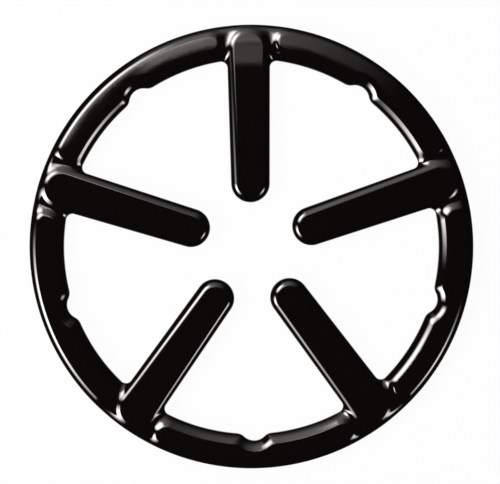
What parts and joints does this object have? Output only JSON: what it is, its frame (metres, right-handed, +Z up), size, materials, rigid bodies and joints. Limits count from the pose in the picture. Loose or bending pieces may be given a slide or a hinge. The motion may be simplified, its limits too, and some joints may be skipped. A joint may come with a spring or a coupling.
{
  "type": "hob pan support",
  "caption": "Round black enamelled pan support for a gas hob: a pressed ring with rounded fingers pointing at the middle, set off by small valleys, holding a pan over the burner.",
  "frame": {"origin": "centre of the plane it rests on", "axes": "+Z up towards the pan, +Y along one finger from the middle to the ring"},
  "size_m": [0.14, 0.14, 0.008],
  "materials": {
    "enamel": "gloss black vitreous enamel on pressed sheet steel"
  },
  "bodies": {
    "root": {"pan_support": "enamel"}
  },
  "joints": []
}
